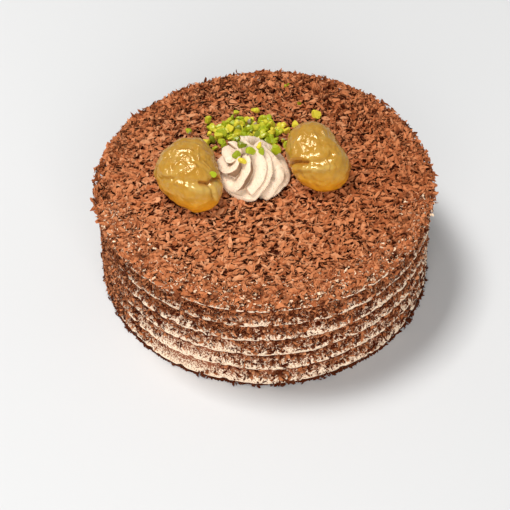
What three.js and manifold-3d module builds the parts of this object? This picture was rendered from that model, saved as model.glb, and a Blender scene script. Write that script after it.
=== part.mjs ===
// Chocolate chestnut cake. A round cake is coated in cream, its side is drawn with a toothed comb
// into level ridges, and chocolate shavings cover it all over. On top a piped rosette of chestnut
// cream stands between two candied chestnuts, with chopped pistachios strewn behind it.
// Millimetres, +Z up. The origin is the centre of the flat base, and the front faces -Y.

import * as THREE from "three";
import { mergeVertices } from "three/addons/utils/BufferGeometryUtils.js";
import Module from "manifold-3d";

// Driving dimensions
const CAKE_HEIGHT = 68; // to the middle of the layer of shavings that covers the top
const RIM_RADIUS = 98.6; // round the top, where the shavings lie thickest
const RIM_ROUNDING = 3.6;
const LIP_RADIUS = 97.2; // out to the ridges that the comb leaves
const LIP_COUNT = 6;
const LIP_PITCH = 11.8; // from one tooth of the comb to the next
const LOWEST_LIP = 2.8;
const LIP_DEPTH = 2.2; // how far each ridge overhangs the cream under it
const LIP_THICKNESS = 1.4;
const FOOT_RADIUS = 98.4; // fallen shavings fill the hollow under the lowest ridge
const CAKE_SEGMENTS = 60;
const TOP_RINGS = 3;

const TOP_SHAVINGS = 180;
const RIM_SHAVINGS = 44;
const SIDE_SHAVINGS = 84;
const SHAVING_LONG = 9; // the largest ones, and the smallest below
const SHAVING_SHORT = 5.5;
const SHAVING_THICKNESS = 0.9;
const SIDE_SHAVING_SHARE = 0.75; // shavings that stick to the side are smaller

const TOPPING_GAP = 0.3; // under each piece that rests on the cake
const CLEAR_OF_TOPPINGS = 7; // how far from them the nearest shavings lie
const ROSETTE_RADIUS = 21;
const ROSETTE_HEIGHT = 28;
const ROSETTE_LOBES = 8; // teeth of the star nozzle
const ROSETTE_TWIST = THREE.MathUtils.degToRad(140);
const ROSETTE_CREASE = 0.24; // depth of the creases, as a share of the radius
const ROSETTE_LEAN = new THREE.Vector2(-7.8, 7); // how far the tip is off its middle
const ROSETTE_PLACE = new THREE.Vector2(-5.2, 2.9);

const CHESTNUT_TILT = THREE.MathUtils.degToRad(20); // the broad face leans to the front
// Seen from above a chestnut's outline is a circle drawn out into an oval and pinched to one corner.
// Its crease is a line across it, placed in shares of the radius, that ends where the lobes join.
const LEFT_CHESTNUT = {
  place: new THREE.Vector2(-43.6, -5.6),
  radius: 20.5,
  halfHeight: 14,
  oval: 0.095,
  ovalTurn: THREE.MathUtils.degToRad(-113),
  corner: 0.067,
  cornerTurn: THREE.MathUtils.degToRad(-157),
  crease: { depth: 0.1, width: 0.17, at: -0.3, slope: -0.04, end: 1.3 },
};
const RIGHT_CHESTNUT = {
  place: new THREE.Vector2(32.4, 5.4),
  radius: 19.3,
  halfHeight: 14,
  oval: 0.183,
  ovalTurn: THREE.MathUtils.degToRad(-116),
  corner: 0.017,
  cornerTurn: THREE.MathUtils.degToRad(-94),
  crease: { depth: 0.12, width: 0.17, at: -0.22, slope: 0.16, end: 0.55 },
};
const CHESTNUT_SUNK = 1.6; // pressed into the cake by its own weight

const HEAP_BITS = 34;
const HEAP_PLACE = new THREE.Vector2(-9.5, 41.5);
const HEAP_REACH = new THREE.Vector2(24, 14); // half its width and depth
const HEAP_HEIGHT = 2.4;
const BIT_LENGTH = 4.6; // of a chopped pistachio bit

// Chopped bits that fell apart from the heap: on the cake, in millimetres from its middle
const STRAY_BITS = [
  [-44.3, 44.4], [-33.4, 53.6], [-16.1, 60.2], [-4.8, 61.6], [22.2, 68], [15.3, 83.6],
  [31.5, 57], [20, 47], [14.2, 30], [9.2, 26], [-34, 34.6], [-28.6, 28.6],
];
// On the rosette: how far up it, as a share of its height, and at which bearing in degrees
const ROSETTE_BITS = [
  [0.9, -97], [0.78, -127], [0.7, -101], [0.8, -57], [0.78, -5], [0.73, -22], [0.49, 23], [0.38, 36],
];
// On the left chestnut, from its middle
const CHESTNUT_BIT = new THREE.Vector3(13.4, -8.4, 6.6);

const GOLDEN_ANGLE = Math.PI * (3 - Math.sqrt(5));

const wasm = await Module();
wasm.setup();

// A repeatable stream of random numbers from 0 to 1
function seededRandom(seed) {
  let state = seed;
  return () => {
    state = (Math.imul(state, 1664525) + 1013904223) >>> 0;
    return state / 4294967296;
  };
}

// Moves each vertex of a geometry to where the function puts it
function reshape(geometry, move) {
  const positions = geometry.getAttribute("position");
  const point = new THREE.Vector3();
  for (let i = 0; i < positions.count; i++) {
    point.fromBufferAttribute(positions, i);
    move(point);
    positions.setXYZ(i, point.x, point.y, point.z);
  }
  return geometry;
}

// A closed geometry as a solid that can be joined and cut
function solidOf(geometry) {
  const bare = new THREE.BufferGeometry();
  bare.setAttribute("position", geometry.getAttribute("position"));
  bare.setIndex(geometry.getIndex());
  const merged = mergeVertices(bare, 1e-3);
  const mesh = new wasm.Mesh({
    numProp: 3,
    vertProperties: new Float32Array(merged.getAttribute("position").array),
    triVerts: new Uint32Array(merged.getIndex().array),
  });
  return new wasm.Manifold(mesh);
}

// Joins solids into the one body that they make, without loose scraps or sealed hollows
function fuse(solids) {
  const bodies = wasm.Manifold.union(solids).decompose();
  return bodies.reduce((most, body) => (body.volume() > most.volume() ? body : most));
}

function meshOf(name, solid, material) {
  const { numProp, vertProperties, triVerts } = solid.getMesh();
  const corners = new Float32Array((vertProperties.length / numProp) * 3);
  for (let i = 0; i < corners.length / 3; i++) {
    corners.set(vertProperties.subarray(i * numProp, i * numProp + 3), i * 3);
  }
  const geometry = new THREE.BufferGeometry();
  geometry.setAttribute("position", new THREE.BufferAttribute(corners, 3));
  geometry.setIndex(new THREE.BufferAttribute(triVerts, 1));
  geometry.computeVertexNormals();
  const mesh = new THREE.Mesh(geometry, material);
  mesh.name = name;
  return mesh;
}

// Radius and height of the cream's section, from the middle of the base to the middle of the top
function cakeSection() {
  const recess = LIP_RADIUS - LIP_DEPTH;
  const section = [new THREE.Vector2(0, 0), new THREE.Vector2(FOOT_RADIUS, 0)];
  for (let lip = 0; lip < LIP_COUNT; lip++) {
    const z = LOWEST_LIP + lip * LIP_PITCH;
    if (lip > 0) section.push(new THREE.Vector2(recess, z - LIP_THICKNESS));
    section.push(new THREE.Vector2(LIP_RADIUS, z));
  }
  for (const degrees of [0, 45, 90]) {
    const turn = THREE.MathUtils.degToRad(degrees);
    const inward = RIM_ROUNDING * (1 - Math.cos(turn));
    const fall = RIM_ROUNDING * (1 - Math.sin(turn));
    section.push(new THREE.Vector2(RIM_RADIUS - inward, CAKE_HEIGHT - fall));
  }
  for (let ring = TOP_RINGS - 1; ring >= 0; ring--) {
    const radius = ((RIM_RADIUS - RIM_ROUNDING) * ring) / TOP_RINGS;
    section.push(new THREE.Vector2(radius, CAKE_HEIGHT));
  }
  return section;
}

// The palette knife leaves the cream a little uneven: the top only dips, the side goes both ways
function unevenDip(x, y) {
  return 0.2 + 0.12 * Math.sin(x / 17 + 1) * Math.cos(y / 21) + 0.08 * Math.sin(y / 9 + x / 31);
}

function unevenSide(bearing, z) {
  return 0.35 * Math.sin(3 * bearing + z / 19) + 0.3 * Math.sin(8 * bearing + 2 - z / 11);
}

function topHeight(x, y) {
  return CAKE_HEIGHT - unevenDip(x, y);
}

function creamedCake() {
  const turned = new THREE.LatheGeometry(cakeSection(), CAKE_SEGMENTS);
  turned.rotateX(Math.PI / 2);
  const rimFoot = CAKE_HEIGHT - RIM_ROUNDING;
  return reshape(turned, (p) => {
    const radius = Math.hypot(p.x, p.y);
    const bearing = Math.atan2(p.y, p.x);
    const share = Math.min(1, p.z / LOWEST_LIP) * Math.min(1, radius / LIP_RADIUS);
    const pushed = radius + share * unevenSide(bearing, p.z);
    if (radius > 1e-6) {
      p.x *= pushed / radius;
      p.y *= pushed / radius;
    }
    if (p.z > rimFoot) p.z -= unevenDip(p.x, p.y) * ((p.z - rimFoot) / RIM_ROUNDING);
  });
}

// A flat chip of chocolate with three or four corners, lying along X
function shaving(length, random) {
  const width = length * (0.45 + 0.3 * random());
  const outline = new THREE.Shape();
  outline.moveTo(-length / 2, (random() - 0.5) * width * 0.6);
  outline.lineTo((random() - 0.5) * length * 0.5, -width / 2);
  outline.lineTo(length / 2, (random() - 0.5) * width * 0.6);
  if (random() < 0.4) outline.lineTo((random() - 0.5) * length * 0.5, width / 2);
  const chip = new THREE.ExtrudeGeometry(outline, { depth: SHAVING_THICKNESS, bevelEnabled: false });
  return chip.translate(0, 0, -SHAVING_THICKNESS / 2);
}

// Puts a piece on the cake at a point, with its own +Z along the surface's normal
function setOn(geometry, point, normal, spin, pitch, roll) {
  const heading = new THREE.Quaternion().setFromUnitVectors(new THREE.Vector3(0, 0, 1), normal);
  const turn = new THREE.Quaternion().setFromEuler(new THREE.Euler(roll, pitch, spin, "ZYX"));
  const place = new THREE.Matrix4();
  place.compose(point, heading.multiply(turn), new THREE.Vector3(1, 1, 1));
  return geometry.clone().applyMatrix4(place);
}

// True where a topping stands, with room round it
function underTopping(x, y) {
  const footprints = [
    [ROSETTE_PLACE, ROSETTE_RADIUS, ROSETTE_RADIUS],
    [LEFT_CHESTNUT.place, LEFT_CHESTNUT.radius, LEFT_CHESTNUT.radius],
    [RIGHT_CHESTNUT.place, RIGHT_CHESTNUT.radius, RIGHT_CHESTNUT.radius],
    [HEAP_PLACE, HEAP_REACH.x, HEAP_REACH.y],
  ];
  return footprints.some(([place, reachX, reachY]) => {
    const x1 = (x - place.x) / (reachX + CLEAR_OF_TOPPINGS);
    const y1 = (y - place.y) / (reachY + CLEAR_OF_TOPPINGS);
    return Math.hypot(x1, y1) < 1;
  });
}

// Shavings at even steps of a sunflower's spiral over the top, clear of the toppings
function topShavings() {
  const random = seededRandom(11);
  const reach = RIM_RADIUS - RIM_ROUNDING;
  const placed = [];
  for (let i = 0; i < TOP_SHAVINGS; i++) {
    const radius = reach * Math.sqrt((i + 0.5) / TOP_SHAVINGS);
    const bearing = i * GOLDEN_ANGLE;
    const x = radius * Math.cos(bearing);
    const y = radius * Math.sin(bearing);
    const length = SHAVING_SHORT + (SHAVING_LONG - SHAVING_SHORT) * random() ** 2;
    const chip = shaving(length, random);
    const spin = random() * 2 * Math.PI;
    const pitch = random() - 0.5;
    const roll = 1.2 * (random() - 0.5);
    if (underTopping(x, y)) continue;
    const point = new THREE.Vector3(x, y, topHeight(x, y) + 0.2);
    placed.push(setOn(chip, point, new THREE.Vector3(0, 0, 1), spin, pitch, roll));
  }
  return placed;
}

// Shavings round the rim of the top, some facing up and some facing out
function rimShavings() {
  const random = seededRandom(23);
  const placed = [];
  for (let i = 0; i < RIM_SHAVINGS; i++) {
    const bearing = ((i + 0.6 * random()) / RIM_SHAVINGS) * 2 * Math.PI;
    const out = new THREE.Vector3(Math.cos(bearing), Math.sin(bearing), 0);
    const normal = out.clone().add(new THREE.Vector3(0, 0, 0.6 + random())).normalize();
    const point = out.multiplyScalar(RIM_RADIUS - 0.9).setZ(CAKE_HEIGHT - 1.2);
    const chip = shaving(SHAVING_SHORT + 2 * random(), random);
    placed.push(setOn(chip, point, normal, random() * 2 * Math.PI, random() - 0.5, 0));
  }
  return placed;
}

// Smaller shavings that cling to the combed side, fewer towards the foot
function sideShavings() {
  const random = seededRandom(37);
  const lowest = LOWEST_LIP + 3;
  const highest = LOWEST_LIP + (LIP_COUNT - 1) * LIP_PITCH;
  const placed = [];
  for (let i = 0; i < SIDE_SHAVINGS; i++) {
    const bearing = i * GOLDEN_ANGLE;
    const z = lowest + (highest - lowest) * Math.sqrt((i + 0.5) / SIDE_SHAVINGS);
    const out = new THREE.Vector3(Math.cos(bearing), Math.sin(bearing), 0);
    const point = out.clone().multiplyScalar(LIP_RADIUS - LIP_DEPTH / 2).setZ(z);
    const length = SIDE_SHAVING_SHARE * (SHAVING_SHORT + 2.5 * random() ** 2);
    const chip = shaving(length, random);
    placed.push(setOn(chip, point, out, random() * 2 * Math.PI, random() - 0.5, 0));
  }
  return placed;
}

// A bit of chopped pistachio: a small uneven block
function pistachioBit(random) {
  const length = BIT_LENGTH * (0.75 + 0.4 * random());
  const block = new THREE.BoxGeometry(length, 0.75 * length, 0.65 * length);
  block.deleteAttribute("normal").deleteAttribute("uv");
  const knocked = () => 0.75 + 0.4 * random();
  return reshape(mergeVertices(block), (p) => {
    p.set(p.x * knocked(), p.y * knocked(), p.z * knocked());
  });
}

function strayBits() {
  const random = seededRandom(5);
  return STRAY_BITS.map(([x, y]) => {
    const bit = pistachioBit(random);
    const point = new THREE.Vector3(x, y, topHeight(x, y) + 0.3 * BIT_LENGTH);
    return setOn(bit, point, new THREE.Vector3(0, 0, 1), random() * 2 * Math.PI, 0, 0);
  });
}

function cake() {
  const shavings = [...topShavings(), ...rimShavings(), ...sideShavings()];
  const pieces = [creamedCake(), ...shavings, ...strayBits()];
  return fuse(pieces.map(solidOf));
}

// A point on the rosette: share goes from 0 at its foot to 1 at its tip, and angle goes round its
// lobes, which rise slowly to a ridge and fall off steeply behind it
function rosettePoint(share, angle, crease = ROSETTE_CREASE) {
  const tuckedFoot = 0.86 + 0.14 * Math.min(1, share / 0.12);
  const dome = (1 - share ** 2.8) ** 1.3;
  const along = THREE.MathUtils.euclideanModulo((ROSETTE_LOBES * angle) / (2 * Math.PI), 1);
  const lobe = Math.sin(Math.PI * along ** 1.4) ** 0.7;
  const radius = ROSETTE_RADIUS * tuckedFoot * dome * (1 - crease * (1 - lobe));
  const bearing = angle + ROSETTE_TWIST * share;
  return new THREE.Vector3(
    radius * Math.cos(bearing) + ROSETTE_LEAN.x * share,
    radius * Math.sin(bearing) + ROSETTE_LEAN.y * share,
    ROSETTE_HEIGHT * share,
  );
}

// The piped rosette: eight lobes from a star nozzle, turned as it was drawn up to its tip
function rosette() {
  const steps = 14;
  const section = [new THREE.Vector2(0, 0)];
  for (let i = 0; i <= steps; i++) {
    const share = (i / steps) ** 0.9;
    section.push(new THREE.Vector2(i < steps ? 1 : 0, share));
  }
  const turned = new THREE.LatheGeometry(section, ROSETTE_LOBES * 6);
  turned.rotateX(Math.PI / 2);
  const piped = reshape(turned, (p) => {
    const underneath = p.lengthSq() < 0.01;
    if (underneath) return;
    p.copy(rosettePoint(THREE.MathUtils.clamp(p.z, 0, 1), Math.atan2(p.y, p.x)));
  });
  const random = seededRandom(71);
  const bits = ROSETTE_BITS.map(([share, degrees]) => {
    const bearing = THREE.MathUtils.degToRad(degrees);
    const point = rosettePoint(share, bearing - ROSETTE_TWIST * share, 0);
    return pistachioBit(random).rotateZ(bearing).translate(point.x, point.y, point.z);
  });
  const level = CAKE_HEIGHT + TOPPING_GAP;
  return fuse([piped, ...bits].map(solidOf)).translate([ROSETTE_PLACE.x, ROSETTE_PLACE.y, level]);
}

// A candied chestnut: an oval seen from above, with the crease where its two lobes meet
function chestnut(shape) {
  const { crease } = shape;
  const ball = new THREE.IcosahedronGeometry(1, 5);
  return reshape(ball, (p) => {
    const around = Math.atan2(p.y, p.x);
    const outline =
      1 +
      shape.oval * Math.cos(2 * around - shape.ovalTurn) +
      shape.corner * Math.cos(3 * around - shape.cornerTurn);
    const off = (p.y - crease.at - crease.slope * p.x) / crease.width;
    const onFace = THREE.MathUtils.smoothstep(p.z, -0.5, 0.1);
    const inReach = 1 - THREE.MathUtils.smoothstep(p.x, crease.end - 0.3, crease.end + 0.3);
    const pressed = 1 - crease.depth * Math.exp(-off * off) * onFace * inReach;
    p.x *= shape.radius * outline * pressed;
    p.y *= shape.radius * outline * pressed;
    p.z *= shape.halfHeight * pressed;
  }).rotateX(CHESTNUT_TILT);
}

// The chestnut set down on the cake, flat where it was pressed on
function restingChestnut(shape, bits) {
  const body = chestnut(shape);
  body.computeBoundingBox();
  const level = CAKE_HEIGHT + TOPPING_GAP;
  const lift = level - body.boundingBox.min.z - CHESTNUT_SUNK;
  const placed = [body, ...bits].map((g) => g.translate(shape.place.x, shape.place.y, lift));
  return fuse(placed.map(solidOf)).trimByPlane([0, 0, 1], level);
}

// The heap of chopped pistachios: a low mound with the bits that show set all over it
function heap() {
  const random = seededRandom(97);
  const mound = new THREE.SphereGeometry(1, 20, 8).rotateX(Math.PI / 2);
  const level = CAKE_HEIGHT + TOPPING_GAP;
  reshape(mound, (p) => {
    p.set(HEAP_REACH.x * 0.86 * p.x, HEAP_REACH.y * 0.86 * p.y, Math.max(0, p.z) * HEAP_HEIGHT);
    p.add(new THREE.Vector3(HEAP_PLACE.x, HEAP_PLACE.y, level));
  });
  const bits = [];
  for (let i = 0; i < HEAP_BITS; i++) {
    const share = Math.sqrt((i + 0.5) / HEAP_BITS);
    const x = HEAP_REACH.x * share * Math.cos(i * GOLDEN_ANGLE);
    const y = HEAP_REACH.y * share * Math.sin(i * GOLDEN_ANGLE);
    const rise = HEAP_HEIGHT * Math.sqrt(Math.max(0, 1 - share * share));
    const bit = pistachioBit(random).rotateX(random()).rotateZ(random() * Math.PI);
    bits.push(bit.translate(HEAP_PLACE.x + x, HEAP_PLACE.y + y, level + rise + 0.5));
  }
  return fuse([mound, ...bits].map(solidOf)).trimByPlane([0, 0, 1], level);
}

const chocolate = new THREE.MeshStandardMaterial({ color: 0xa0603f, roughness: 0.75, metalness: 0 });
const chestnutCream = new THREE.MeshStandardMaterial({ color: 0xdcc0a2, roughness: 0.6, metalness: 0 });
const candied = new THREE.MeshStandardMaterial({ color: 0xc4923f, roughness: 0.2, metalness: 0 });
const pistachio = new THREE.MeshStandardMaterial({ color: 0xa9b32c, roughness: 0.6, metalness: 0 });

const chestnutBit = pistachioBit(seededRandom(3)).translate(...CHESTNUT_BIT);

const chestnutCake = new THREE.Group();
chestnutCake.add(
  meshOf("cake", cake(), chocolate),
  meshOf("cream_rosette", rosette(), chestnutCream),
  meshOf("chestnut_left", restingChestnut(LEFT_CHESTNUT, [chestnutBit]), candied),
  meshOf("chestnut_right", restingChestnut(RIGHT_CHESTNUT, []), candied),
  meshOf("pistachio_heap", heap(), pistachio),
);

export default chestnutCake;
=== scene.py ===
import bpy
import numpy as np
from mathutils import Matrix, Vector


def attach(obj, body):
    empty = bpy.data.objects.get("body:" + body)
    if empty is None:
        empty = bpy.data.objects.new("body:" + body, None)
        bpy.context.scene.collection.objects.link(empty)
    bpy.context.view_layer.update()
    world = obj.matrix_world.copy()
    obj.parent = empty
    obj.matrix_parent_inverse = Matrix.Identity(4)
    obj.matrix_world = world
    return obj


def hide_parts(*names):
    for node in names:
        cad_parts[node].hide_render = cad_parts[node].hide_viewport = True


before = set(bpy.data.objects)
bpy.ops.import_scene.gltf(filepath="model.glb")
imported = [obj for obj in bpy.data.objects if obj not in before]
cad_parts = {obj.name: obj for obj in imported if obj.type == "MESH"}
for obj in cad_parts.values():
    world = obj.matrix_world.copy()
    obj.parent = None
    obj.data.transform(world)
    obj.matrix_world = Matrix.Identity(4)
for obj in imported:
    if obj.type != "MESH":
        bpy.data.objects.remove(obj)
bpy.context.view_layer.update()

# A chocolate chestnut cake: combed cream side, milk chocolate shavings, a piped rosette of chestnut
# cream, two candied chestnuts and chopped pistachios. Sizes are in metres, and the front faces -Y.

# ---- The table, the daylight and the camera ----
# The cake stands on a plain white table, in soft light from a window above it to the left and in
# light from the room in front, which its wet toppings don't mirror.

MM = 0.001
TABLE_REACH = 6.0
TABLE_COLOUR = (0.682, 0.696, 0.714, 1)
TABLE_ROUGHNESS = 0.6
SKY_COLOUR = (1.0, 0.985, 0.96, 1)
SKY_STRENGTH = 0.24
DAYLIGHT = (1.0, 0.98, 0.95)
LIT_POINT = Vector((0, 0, 60 * MM))  # near the middle of the cake's top
CAMERA_AIM = (-6.56 * MM, -13.55 * MM, 21.83 * MM)
CAMERA_DISTANCE = 1.1905
CAMERA_ELEVATION = np.radians(45.82)
CAMERA_ROLL = np.radians(-1.28)
CAMERA_LENS = 141.2  # in mm, as is the sensor
CAMERA_SENSOR = 36
CAMERA_SIGHT = 20.0  # how far it sees


def mesh_piece(name, points, faces, smooth=True, **values):
    """A mesh object from its points, lists of faces with 3 or 4 corners each, and a value per point."""
    mesh = bpy.data.meshes.new(name)
    corners = np.concatenate([f.ravel() for f in faces]).astype(np.int32)
    sides = np.concatenate([np.full(len(f), f.shape[1]) for f in faces])
    mesh.vertices.add(len(points))
    mesh.vertices.foreach_set("co", np.ascontiguousarray(points, dtype=np.float32).ravel())
    mesh.loops.add(len(corners))
    mesh.loops.foreach_set("vertex_index", corners)
    mesh.polygons.add(len(sides))
    mesh.polygons.foreach_set("loop_start", (np.cumsum(sides) - sides).astype(np.int32))
    mesh.polygons.foreach_set("use_smooth", np.full(len(sides), smooth))
    for value_name, value in values.items():
        layer = mesh.attributes.new(value_name, "FLOAT", "POINT")
        layer.data.foreach_set("value", value.astype(np.float32))
    mesh.update(calc_edges=True)
    piece = bpy.data.objects.new(name, mesh)
    bpy.context.scene.collection.objects.link(piece)
    return piece


def light_panel(name, place, size, power, mirrored):
    """A square lamp that faces the cake's top, and that wet surfaces mirror or not."""
    lamp = bpy.data.lights.new(name, "AREA")
    lamp.size = size
    lamp.energy = power
    lamp.color = DAYLIGHT
    holder = bpy.data.objects.new(name, lamp)
    turned = (Vector(place) - LIT_POINT).to_track_quat("Z", "Y").to_matrix().to_4x4()
    holder.matrix_world = Matrix.Translation(place) @ turned
    holder.visible_glossy = mirrored
    bpy.context.scene.collection.objects.link(holder)


def add_table():
    """One large square at the level of the cake's base."""
    corners = np.array([[-1, -1, 0], [1, -1, 0], [1, 1, 0], [-1, 1, 0]]) * TABLE_REACH
    table = mesh_piece("table", corners, [np.array([[0, 1, 2, 3]])], smooth=False)
    paint = bpy.data.materials.new("table_white")
    paint.use_nodes = True
    shader = paint.node_tree.nodes["Principled BSDF"]
    shader.inputs["Base Color"].default_value = TABLE_COLOUR
    shader.inputs["Roughness"].default_value = TABLE_ROUGHNESS
    table.data.materials.append(paint)


def add_daylight():
    """A dim, even sky and the two lamps."""
    world = bpy.data.worlds.new("daylight")
    world.use_nodes = True
    sky = world.node_tree.nodes["Background"]
    sky.inputs["Color"].default_value = SKY_COLOUR
    sky.inputs["Strength"].default_value = SKY_STRENGTH
    bpy.context.scene.world = world
    light_panel("window", place=(-0.75, 0.35, 2.3), size=0.8, power=50, mirrored=True)
    light_panel("room", place=(0.05, -2.5, 1.05), size=2.2, power=64, mirrored=False)


def add_camera():
    """The camera looks down on its aim from the front, rolled a little."""
    lens = bpy.data.cameras.new("camera")
    lens.lens = CAMERA_LENS
    lens.sensor_width = CAMERA_SENSOR
    lens.clip_end = CAMERA_SIGHT
    camera = bpy.data.objects.new("camera", lens)
    turned = Matrix.Rotation(np.pi / 2 - CAMERA_ELEVATION, 4, "X") @ Matrix.Rotation(CAMERA_ROLL, 4, "Z")
    back = Matrix.Translation((0, 0, CAMERA_DISTANCE))
    camera.matrix_world = Matrix.Translation(CAMERA_AIM) @ turned @ back
    bpy.context.scene.collection.objects.link(camera)
    bpy.context.scene.camera = camera


add_table()
add_daylight()
add_camera()
bpy.context.scene.view_settings.view_transform = "Standard"


# ---- The cream coat ----
# Whipped cream is spread over the whole cake, and a comb with six teeth is held to its side while
# it turns, which leaves six sharp ridges with a hollow under each.

CAKE_HEIGHT = 68 * MM  # to the middle of the layer of shavings
CREAM_TOP = CAKE_HEIGHT - 1.4 * MM
LIP_RADIUS = 96.9 * MM  # out to the sharp lips of the ridges
LIP_COUNT = 6
LIP_PITCH = 11.8 * MM
LOWEST_LIP = 2.8 * MM
LIP_DEPTH = 3.2 * MM
LIP_TEAR = 1.3 * MM
DRAG_DEPTH = 0.22 * MM
RIM_SET_BACK = 1.2 * MM
RIM_ROUNDING = 4 * MM
TOP_RINGS = 24
CREAM_STEPS = 540  # round the cake
# Where the rings of points lie from one lip to the next, as shares of the pitch
LIP_RINGS = np.array(
    [0, 0.012, 0.03, 0.05, 0.08, 0.16, 0.25, 0.35, 0.45, 0.55]
    + [0.65, 0.74, 0.81, 0.85, 0.88, 0.91, 0.935, 0.965, 0.985]
)
CREAM = (0.98, 0.79, 0.60, 1)
# The next two are cocoa dust and specks on the cream, and also painted shade in the hollows under the
# ridges
CREAM_DUST_AND_SHADE = (0.50, 0.25, 0.12, 1)
COCOA_AND_SHADE = (0.22, 0.040, 0.008, 1)
# Painted shade: the cream under the shavings is painted near black for the shade between them
SHADE_UNDER_SHAVINGS = (0.07, 0.010, 0.002, 1)
BED_FROM = 65.7 * MM  # the height at which the cream turns brown
BED_TO = 66.4 * MM


class Link:
    """An output of a material's node, on which Python's operators add Math nodes."""

    def __init__(self, finish, socket):
        self.finish = finish
        self.socket = socket

    def math(self, operation, first, second):
        """The result of a Math node on two links or numbers."""
        return self.finish.node("ShaderNodeMath", {"operation": operation}, [first, second])

    def __add__(self, other):
        return self.math("ADD", self, other)

    def __mul__(self, other):
        return self.math("MULTIPLY", self, other)

    def __sub__(self, other):
        return self.math("SUBTRACT", self, other)

    def __rsub__(self, other):
        return self.math("SUBTRACT", other, self)

    __radd__ = __add__
    __rmul__ = __mul__


class Finish:
    """A surface finish: a material whose nodes are added one call at a time."""

    def __init__(self, name, **constants):
        self.material = bpy.data.materials.new(name)
        self.material.use_nodes = True
        self.tree = self.material.node_tree
        self.shader = self.tree.nodes["Principled BSDF"]
        self.feed(self.shader, {key.replace("_", " "): value for key, value in constants.items()})

    def feed(self, node, inputs):
        """Links or sets a node's sockets, by name or in order."""
        pairs = inputs.items() if isinstance(inputs, dict) else enumerate(inputs)
        for key, value in pairs:
            if isinstance(value, Link):
                self.tree.links.new(value.socket, node.inputs[key])
            else:
                node.inputs[key].default_value = value

    def node(self, kind, settings, inputs, output=0):
        """Adds a node with its settings first and then its sockets, and gives one of its outputs."""
        node = self.tree.nodes.new(kind)
        for key, value in settings.items():
            setattr(node, key, value)
        self.feed(node, inputs)
        return Link(self, node.outputs[output])

    def value(self, name):
        """The value per point that a mesh holds under this name."""
        return self.node("ShaderNodeAttribute", {"attribute_name": name}, {}, "Fac")

    def place(self):
        """Where on the object a point is, in metres."""
        return self.node("ShaderNodeTexCoord", {}, {}, "Object")

    def grain(self, size, detail=2.0, roughness=0.5):
        """Soft noise from 0 to 1 whose lumps are about this size in metres."""
        inputs = {"Vector": self.place(), "Scale": 1 / size, "Detail": detail, "Roughness": roughness}
        return self.node("ShaderNodeTexNoise", {}, inputs, 0)

    def ramp(self, source, low, high, to_low=0.0, to_high=1.0):
        """A soft step from to_low to to_high while the source goes from low to high."""
        inputs = {"Value": source, "From Min": low, "From Max": high, "To Min": to_low, "To Max": to_high}
        return self.node("ShaderNodeMapRange", {"interpolation_type": "SMOOTHSTEP"}, inputs)

    def mix(self, share, first, second):
        """A colour between two colours."""
        inputs = {0: share, 6: first, 7: second}
        return self.node("ShaderNodeMix", {"data_type": "RGBA"}, inputs, 2)

    def bump(self, height, depth):
        """Relief of the given depth in metres, from a height between 0 and 1."""
        inputs = {"Height": height, "Distance": depth, "Strength": 1.0}
        return self.node("ShaderNodeBump", {}, inputs)

    def surface(self, **inputs):
        """Sets the shader's sockets, and gives the material."""
        self.feed(self.shader, {key.replace("_", " "): value for key, value in inputs.items()})
        return self.material


def polar(radius, bearing, height):
    """Points at a distance from the cake's axis, at a bearing round it and at a height."""
    coordinates = np.broadcast_arrays(radius * np.cos(bearing), radius * np.sin(bearing), height)
    return np.stack(coordinates, axis=-1)


def ripples(points, size, seed, count=24):
    """A smooth random height, about -1 to 1: the mean of many sine waves through space, each with its
    own direction and phase and a wavelength from 0.7 to 1.6 times the size."""
    draw = np.random.default_rng(seed)
    heading = draw.normal(size=(count, 3))
    heading /= np.linalg.norm(heading, axis=1, keepdims=True)
    waves = heading * (2 * np.pi / (size * draw.uniform(0.7, 1.6, (count, 1))))
    return np.sin(points @ waves.T + draw.uniform(0, 2 * np.pi, count)).sum(-1) * np.sqrt(2 / count) * 0.7


def capped_rings(rings, bottom, top):
    """Points and faces of a closed surface from rings, row by row upwards, and its two end points."""
    rows, steps = rings.shape[:2]
    points = np.concatenate([rings.reshape(-1, 3), [bottom, top]])
    index = np.arange(rows * steps).reshape(rows, steps)
    beside = np.roll(index, -1, axis=1)
    quads = np.stack([index[:-1], beside[:-1], beside[1:], index[1:]], axis=-1).reshape(-1, 4)
    foot = np.stack([np.full(steps, rows * steps), beside[0], index[0]], axis=-1)
    head = np.stack([index[-1], beside[-1], np.full(steps, rows * steps + 1)], axis=-1)
    return points, [quads, foot, head]


def side_inward(share):
    """How far in the side lies at a share of the pitch above a lip, as a share of the ridge's depth:
    a thin blade, a slope in to the hollow under the next ridge, and a step out under its lip."""
    pitch_shares = [0, 0.03, 0.08, 0.5, 0.84, 0.91, 0.965, 1]
    return np.interp(share, pitch_shares, [0, 0.24, 0.3, 0.7, 1, 0.96, 0.3, 0])


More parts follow.
